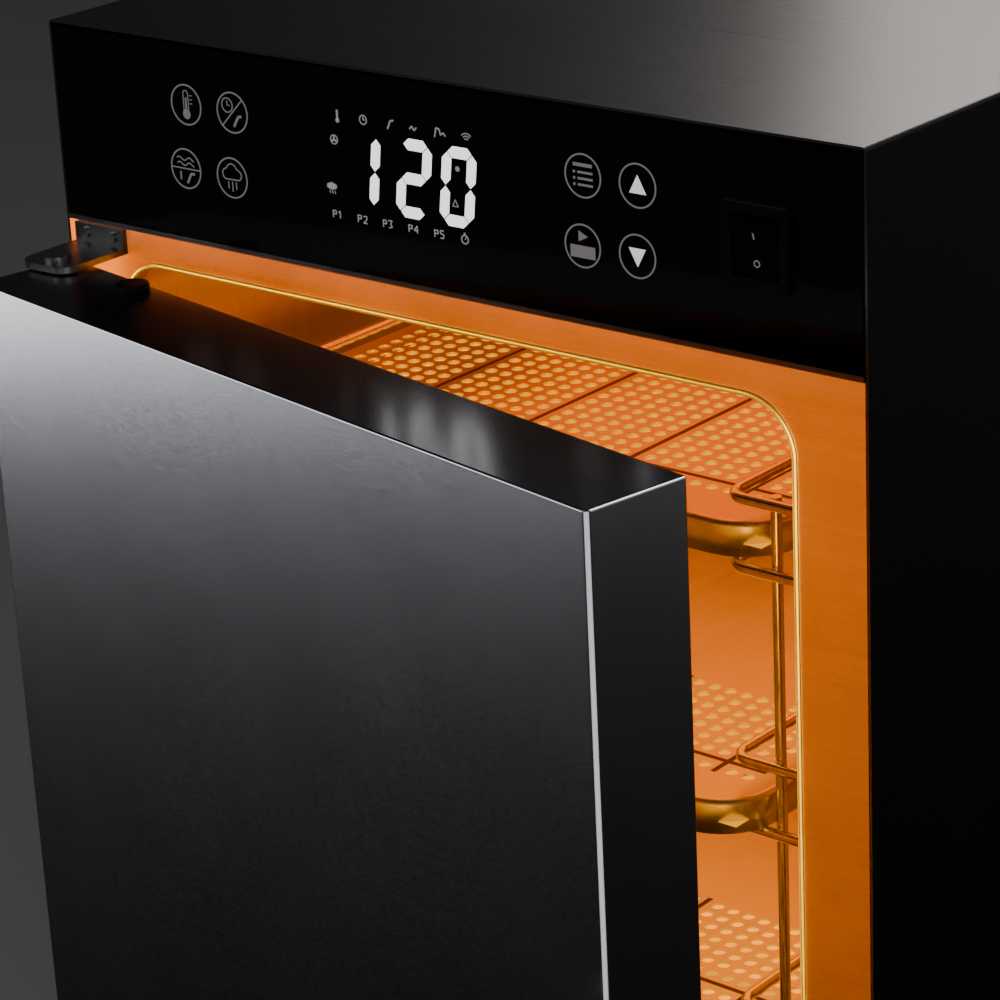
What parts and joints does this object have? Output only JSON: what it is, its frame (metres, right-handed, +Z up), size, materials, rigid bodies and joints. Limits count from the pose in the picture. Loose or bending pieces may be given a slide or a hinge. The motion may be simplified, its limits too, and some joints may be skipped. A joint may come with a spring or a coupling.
{
  "type": "benchtop slow-cooking oven",
  "caption": "Benchtop slow-cooking oven with a black glass control panel, mains rocker switch, thick side-hinged door standing ajar, wire racks and perforated shelves.",
  "frame": {"origin": "middle of the whole object's box at the surface that it stands on, with the door ajar as stored", "axes": "+Z up, -Y towards the door and the person who uses it, +X to that person's right"},
  "size_m": [0.46, 0.6544, 0.55],
  "materials": {
    "casing_steel": "dark brushed, grain from side to side",
    "door_steel": "dark brushed, grain from side to side",
    "frame_steel": "satin",
    "liner_steel": "satin",
    "shelf_steel": "satin",
    "wire_steel": "polished wire",
    "handle_steel": "satin",
    "hinge_steel": "satin",
    "screw_steel": "zinc plated",
    "galvanised_steel": "galvanised sheet",
    "trim_aluminium": "satin",
    "fan_aluminium": "mill finish",
    "black_glass": "gloss",
    "lamp_glass": "clear",
    "switch_plastic": "fine texture",
    "rocker_plastic": "semi-gloss",
    "display_plastic": "matt",
    "circuit_board": "lacquered board",
    "cream_ceramic": "matt",
    "foot_rubber": "matt",
    "gasket_silicone": "satin silicone",
    "mineral_wool": "fibrous",
    "heater_steel": "oxidised sheath",
    "motor_paint": "satin black",
    "bush_bronze": "machined"
  },
  "bodies": {
    "root": {"outer_casing": "casing_steel", "base_pan": "galvanised_steel", "rear_cover": "galvanised_steel", "rear_screws": "screw_steel", "feet": "foot_rubber", "foot_screws": "screw_steel", "front_frame": "frame_steel", "panel_trim": "trim_aluminium", "fascia_glass": "black_glass", "fascia_carrier": "galvanised_steel", "display_module": "display_plastic", "touch_board": "circuit_board", "power_board": "circuit_board", "board_posts": "display_plastic", "terminal_block": "cream_ceramic", "thermal_cutout": "cream_ceramic", "mains_inlet": "switch_plastic", "inlet_pins": "screw_steel", "rocker_housing": "switch_plastic", "cavity_liner": "liner_steel", "insulation": "mineral_wool", "rack_left": "wire_steel", "rack_right": "wire_steel", "rack_sockets": "screw_steel", "fan_baffle": "liner_steel", "baffle_legs": "liner_steel", "baffle_screws": "screw_steel", "ring_heater": "heater_steel", "heater_upper": "heater_steel", "heater_lower": "heater_steel", "fan_motor": "motor_paint", "motor_bracket": "galvanised_steel", "temperature_probe": "wire_steel", "lamp_holder": "galvanised_steel", "cavity_lamp": "lamp_glass", "lamp_lens": "lamp_glass", "strike_plate": "screw_steel", "upper_hinge_bracket": "hinge_steel", "lower_hinge_bracket": "hinge_steel", "hinge_pins": "screw_steel", "hinge_screws": "screw_steel", "shelf_upper": "shelf_steel", "shelf_middle": "shelf_steel", "shelf_lower": "shelf_steel"},
    "door": {"door_outer_skin": "door_steel", "door_top_plug": "switch_plastic", "door_inner_panel": "liner_steel", "door_insulation": "mineral_wool", "door_gasket": "gasket_silicone", "door_handle": "handle_steel", "handle_standoffs": "handle_steel", "hinge_bushes": "bush_bronze", "door_magnet": "motor_paint"},
    "rocker": {"rocker": "rocker_plastic"},
    "fan": {"fan_shaft": "screw_steel", "fan_impeller": "fan_aluminium"}
  },
  "joints": [
    {"name": "door_swing", "type": "hinge", "parent": "root", "child": "door", "pos_m": [-0.206, -0.17574, 0.24], "axis": [0, 0, -1], "range_deg": [-10.3, 104.7]},
    {"name": "rocker_tilt", "type": "hinge", "parent": "root", "child": "rocker", "pos_m": [0.178, -0.14124, 0.50255], "axis": [-1, 0, 0], "range_deg": [0, 20]},
    {"name": "fan_spin", "type": "hinge", "parent": "root", "child": "fan", "pos_m": [0, 0.25976, 0.245], "axis": [0, 1, 0], "continuous": true}
  ]
}
